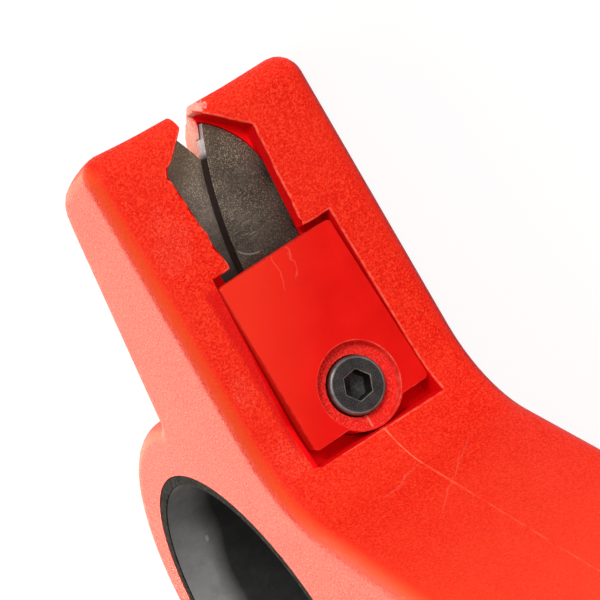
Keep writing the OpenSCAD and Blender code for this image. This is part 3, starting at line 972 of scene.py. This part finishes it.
def raise_head(bm):
    """Lifts the top of the clamp screw's head, which stands proud of the dish's floor."""
    seat = max(v.co.x for v in bm.verts) - HEAD_RAISED
    for vert in bm.verts:
        if vert.co.x > seat:
            vert.co.x += HEAD_RISE


def shape_screw(bm):
    """A raised head, a turned hexagon with a drill point, a thread and rubbed rims."""
    hexagon = [
        f for f in bm.faces
        if f.normal.x > FACING and from_screw(f.calc_center_median()) < ON and len(f.verts) == HEX_SIDES
    ]
    raise_head(bm)
    turn = Matrix.Rotation(HEX_TURN, 3, "X")
    bmesh.ops.rotate(bm, verts=bm.verts, cent=(0, SCREW_Y, SCREW_Z), matrix=turn)
    bmesh.ops.inset_individual(bm, faces=hexagon, thickness=DRILL_INSET)
    bmesh.ops.poke(bm, faces=hexagon, offset=-DRILL_DEPTH)
    cut_thread(bm, ALONG_X)
    top = max(v.co.x for v in bm.verts)
    # Painted shade: the socket's walls and floor get a darker black
    for face in bm.faces:
        centre = face.calc_center_median()
        if from_screw(centre) < HEX_REACH and top - HEX_DEPTH < centre.x < top - ON:
            face.material_index = SOCKET_SHADE

    def on_top(edge):
        return all(v.co.x > top - ON for v in edge.verts)

    def on_head_rim(edge):
        return on_top(edge) and from_screw(edge.verts[0].co) > HEAD_RIM_BEYOND

    round_edges(bm, on_head_rim, HEAD_RIM_R, RUBBED, segments=4)
    round_edges(bm, on_top, HEX_RIM_R, RUBBED)


def shape_liner(bm):
    """Rubbed rims and ends."""
    round_edges(bm, any_edge, LINER_R, RUBBED)
    for face in bm.faces:
        if abs(face.normal.z) > LINER_END:
            face.material_index = RUBBED


def shape_blade(bm):
    """Small rounded edges, and ground sides."""
    round_edges(bm, any_edge, FINE_R, BASE)
    for face in bm.faces:
        if abs(face.normal.x) < BLADE_SIDE:
            face.material_index = GROUND


def shape_closing(bm):
    """Small rounded edges and threads."""
    round_edges(bm, any_edge, FINE_R, BASE)
    cut_thread(bm, ALONG_Z)


def smooth_normals(mesh):
    """Each corner's normal is the mean of the faces there that lie within a limit of its own face."""
    around = [[] for _ in mesh.vertices]
    for face in mesh.polygons:
        for vert in face.vertices:
            around[vert].append((face.normal.copy(), face.area))
    normals = []
    for face in mesh.polygons:
        for vert in face.vertices:
            near = [n * area for n, area in around[vert] if n.dot(face.normal) > SMOOTH]
            normals.append(sum(near, Vector()).normalized())
    mesh.shade_smooth()
    mesh.normals_split_custom_set(normals)


def clean(bm):
    """No flat slivers, and nothing past the CAD model's box."""
    bmesh.ops.dissolve_degenerate(bm, dist=SLIVER, edges=bm.edges)
    low, high = cad_box
    for vert in bm.verts:
        vert.co = [min(max(vert.co[i], low[i]), high[i]) for i in range(3)]


def refine(node, slot, shape, *materials):
    """A piece with a CAD node's form, reshaped by a function, with smooth shading."""
    source = frame["nodes"][node]
    mesh = bpy.data.meshes.new(node + "_skin")
    bm = bmesh.new()
    bm.from_mesh(source.data)
    bmesh.ops.remove_doubles(bm, verts=bm.verts, dist=WELD)
    bmesh.ops.dissolve_limit(
        bm, angle_limit=FLAT, verts=bm.verts, edges=bm.edges, use_dissolve_boundaries=False
    )
    for face in bm.faces:
        face.material_index = BASE
    shape(bm)
    clean(bm)
    bm.to_mesh(mesh)
    bm.free()
    piece = show(node + "_skin", mesh)
    for material in materials:
        mesh.materials.append(material)
    smooth_normals(mesh)
    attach(piece, source["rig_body"])
    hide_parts(node)


def paint(node, material):
    """Gives a CAD node that is shown as it is a better material."""
    data = frame["nodes"][node].data
    data.materials.clear()
    data.materials.append(material)


bpy.context.scene.view_settings.view_transform = "Standard"
camera()
floor()
sky()
for values in LAMPS:
    lamp(*values)

red, worn, flash, inner = body_red(), body_worn(), seam_flash(), inner_red()
for shell in ("left_shell", "right_shell"):
    refine(shell, "body", shape_shell, red, worn, flash, inner)
refine("clamp_plate", "plate", shape_plate, plate_red(), plate_worn(), dish_red())
refine("ring_liner", "liner", shape_liner, liner_black(), liner_rim())

front_steel = blade_steel("front_steel", FRONT_STEEL, brown=0.3, foot_shade=0.2, scratched=True)
rear_steel = blade_steel("rear_steel", REAR_STEEL, brown=0.6, foot_shade=0.75, scratched=False)
side_steel = edge_steel()
refine("front_blade", "blade", shape_blade, front_steel, side_steel)
refine("rear_blade", "blade", shape_blade, rear_steel, side_steel)

black = black_oxide("black_oxide", BLACK_OXIDE)
black_rub = black_oxide("black_oxide_rub", BLACK_RUBBED)
black_shade = black_oxide("black_oxide_socket_shade", BLACK_SOCKET_SHADE)
refine("clamp_screw", "screw", shape_screw, black, black_rub, black_shade)
refine("shell_screws", "screw", shape_closing, black)
ground = turned_metal("ground_steel", GROUND_STEEL, 0.2 * MM, (0.1, 1, 1), rough=0.34, depth=0.004 * MM)
paint("blade_dowel", ground)
brass = turned_metal("brass", BRASS, 0.15 * MM, (1, 0.15, 0.15), rough=0.32, depth=0.006 * MM)
paint("clamp_insert", brass)
